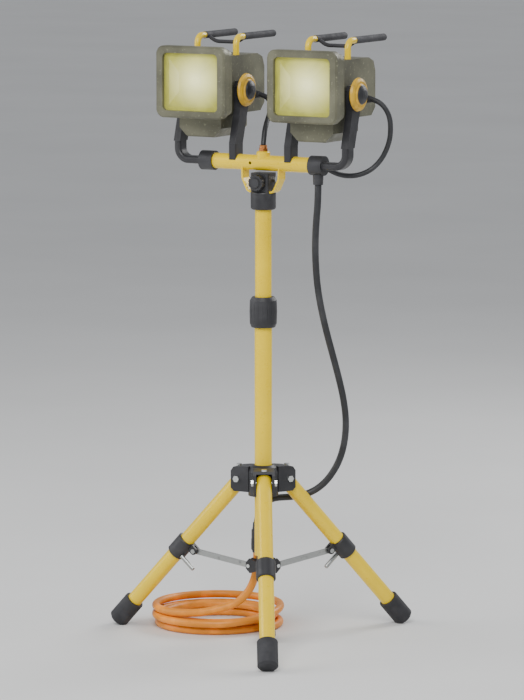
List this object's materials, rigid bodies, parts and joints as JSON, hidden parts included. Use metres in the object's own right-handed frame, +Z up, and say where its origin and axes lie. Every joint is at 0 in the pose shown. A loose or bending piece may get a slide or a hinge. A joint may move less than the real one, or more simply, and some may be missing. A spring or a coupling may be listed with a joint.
{
  "type": "tripod work light",
  "caption": "Work light with twin flood heads on a yoked crossbar, telescoping mast, folding tripod, supply cord and coiled extension cord.",
  "frame": {"origin": "the floor under the mast axis", "axes": "+Z up the mast, +X along the crossbar, the lamps face -Y"},
  "size_m": [0.5146, 0.5369, 1.0592],
  "materials": {
    "yellow_paint": "smooth yellow enamel",
    "black_nylon": "moulded black nylon",
    "cast_grey": "grey olive paint over cast aluminium",
    "lens_glass": "clear lens",
    "reflector_metal": "hammered reflector",
    "quartz": "quartz lamp",
    "zinc_steel": "zinc plated",
    "bright_steel": "bright plated",
    "foot_rubber": "black rubber",
    "cord_black": "black cord jacket",
    "cord_orange": "orange cord jacket",
    "grip_foam": "foam grip",
    "knob_yellow": "yellow knob",
    "copper_gland": "copper coloured gland"
  },
  "bodies": {
    "mast_lower": {"lower_tube": "yellow_paint", "brace_ring": "black_nylon", "ring_rivets": "bright_steel", "thread_sleeve": "black_nylon", "supply_cord": "cord_black", "supply_plug": "cord_black", "extension_connector": "cord_black", "extension_lead": "cord_orange", "extension_coil": "cord_orange", "extension_plug": "cord_black"},
    "height_collar": {"height_collar": "black_nylon"},
    "mast_upper": {"upper_tube": "yellow_paint"},
    "hub": {"hub": "black_nylon", "hub_fasteners": "bright_steel"},
    "swivel": {"swivel_block": "black_nylon", "stirrup": "yellow_paint", "cross_bolt": "bright_steel", "crossbar": "yellow_paint", "cord_gland": "copper_gland", "yoke_elbows": "black_nylon", "yoke_inner_arms": "black_nylon", "yoke_outer_arms": "black_nylon", "head_cord_left": "cord_black", "head_cord_right": "cord_black"},
    "swivel_knob": {"swivel_knob": "black_nylon"},
    "leg_1": {"leg_tube_1": "yellow_paint", "foot_1": "foot_rubber", "leg_collar_1": "black_nylon", "leg_pins_1": "zinc_steel"},
    "stay_1": {"brace_1": "zinc_steel"},
    "leg_2": {"leg_tube_2": "yellow_paint", "foot_2": "foot_rubber", "leg_collar_2": "black_nylon", "leg_pins_2": "zinc_steel"},
    "stay_2": {"brace_2": "zinc_steel"},
    "leg_3": {"leg_tube_3": "yellow_paint", "foot_3": "foot_rubber", "leg_collar_3": "black_nylon", "leg_pins_3": "zinc_steel"},
    "stay_3": {"brace_3": "zinc_steel"},
    "lamp_left": {"housing_left": "cast_grey", "bezel_left": "cast_grey", "lens_left": "lens_glass", "reflector_left": "reflector_metal", "lamp_left": "quartz", "handle_posts_left": "yellow_paint", "handle_grips_left": "grip_foam", "pivot_bolt_left": "bright_steel", "side_gland_left": "foot_rubber"},
    "tilt_knob_left": {"tilt_knob_left": "knob_yellow"},
    "lamp_right": {"housing_right": "cast_grey", "bezel_right": "cast_grey", "lens_right": "lens_glass", "reflector_right": "reflector_metal", "lamp_right": "quartz", "handle_posts_right": "yellow_paint", "handle_grips_right": "grip_foam", "pivot_bolt_right": "bright_steel", "side_gland_right": "foot_rubber"},
    "tilt_knob_right": {"tilt_knob_right": "knob_yellow"}
  },
  "joints": [
    {"name": "mast_slide", "type": "slide", "parent": "mast_lower", "child": "mast_upper", "axis": [0, 0, 1], "range_m": [-0.14, 0.17], "deforming": ["supply_cord"]},
    {"name": "collar_twist", "type": "hinge", "parent": "mast_lower", "child": "height_collar", "pos_m": [0, 0, 0.579], "axis": [0, 0, 1], "range_deg": [0, 60]},
    {"name": "swivel_pan", "type": "hinge", "parent": "mast_upper", "child": "swivel", "pos_m": [0, 0, 0.77], "axis": [0, 0, 1], "range_deg": [-170, 170], "deforming": ["supply_cord"]},
    {"name": "swivel_knob_turn", "type": "hinge", "parent": "swivel", "child": "swivel_knob", "pos_m": [0, -0.02, 0.806], "axis": [0, -1, 0], "range_deg": [-120, 120]},
    {"name": "hub_slide", "type": "slide", "parent": "mast_lower", "child": "hub", "axis": [0, 0, 1], "range_m": [0, 0.124], "deforming": ["supply_cord", "extension_lead", "extension_coil"]},
    {"name": "leg_fold_1", "type": "hinge", "parent": "hub", "child": "leg_1", "pos_m": [0.02247, -0.03666, 0.284], "axis": [0.8526, 0.5225, 0], "range_deg": [0, 34.02]},
    {"name": "stay_fold_1", "type": "hinge", "parent": "leg_1", "child": "stay_1", "pos_m": [0.07182, -0.1172, 0.1454], "axis": [0.8526, 0.5225, 0], "range_deg": [-106.64, 0]},
    {"name": "leg_fold_2", "type": "hinge", "parent": "hub", "child": "leg_2", "pos_m": [0.02052, 0.03779, 0.284], "axis": [-0.8788, 0.4772, 0], "range_deg": [0, 34.02]},
    {"name": "stay_fold_2", "type": "hinge", "parent": "leg_2", "child": "stay_2", "pos_m": [0.06559, 0.1208, 0.1454], "axis": [-0.8788, 0.4772, 0], "range_deg": [-106.64, 0]},
    {"name": "leg_fold_3", "type": "hinge", "parent": "hub", "child": "leg_3", "pos_m": [-0.04299, -0.00113, 0.284], "axis": [0.0262, -0.9997, 0], "range_deg": [0, 34.02]},
    {"name": "stay_fold_3", "type": "hinge", "parent": "leg_3", "child": "stay_3", "pos_m": [-0.13741, -0.0036, 0.1454], "axis": [0.0262, -0.9997, 0], "range_deg": [-106.64, 0]},
    {"name": "lamp_tilt_left", "type": "hinge", "parent": "swivel", "child": "lamp_left", "pos_m": [-0.111, 0.017, 0.963], "axis": [1, 0, 0], "range_deg": [-60, 12], "deforming": ["head_cord_left"]},
    {"name": "tilt_knob_turn_left", "type": "hinge", "parent": "lamp_left", "child": "tilt_knob_left", "pos_m": [-0.041, 0.017, 0.963], "axis": [1, 0, 0], "range_deg": [-180, 180]},
    {"name": "lamp_tilt_right", "type": "hinge", "parent": "swivel", "child": "lamp_right", "pos_m": [0.111, 0.017, 0.963], "axis": [1, 0, 0], "range_deg": [-60, 12], "deforming": ["head_cord_right"]},
    {"name": "tilt_knob_turn_right", "type": "hinge", "parent": "lamp_right", "child": "tilt_knob_right", "pos_m": [0.181, 0.017, 0.963], "axis": [1, 0, 0], "range_deg": [-180, 180]}
  ],
  "couplings": [
    {"joint": "leg_fold_1", "follows": "hub_slide", "rad_per_m": 4.7856},
    {"joint": "stay_fold_1", "follows": "hub_slide", "rad_per_m": -14.996},
    {"joint": "leg_fold_2", "follows": "hub_slide", "rad_per_m": 4.7856},
    {"joint": "stay_fold_2", "follows": "hub_slide", "rad_per_m": -14.996},
    {"joint": "leg_fold_3", "follows": "hub_slide", "rad_per_m": 4.7856},
    {"joint": "stay_fold_3", "follows": "hub_slide", "rad_per_m": -14.996}
  ]
}
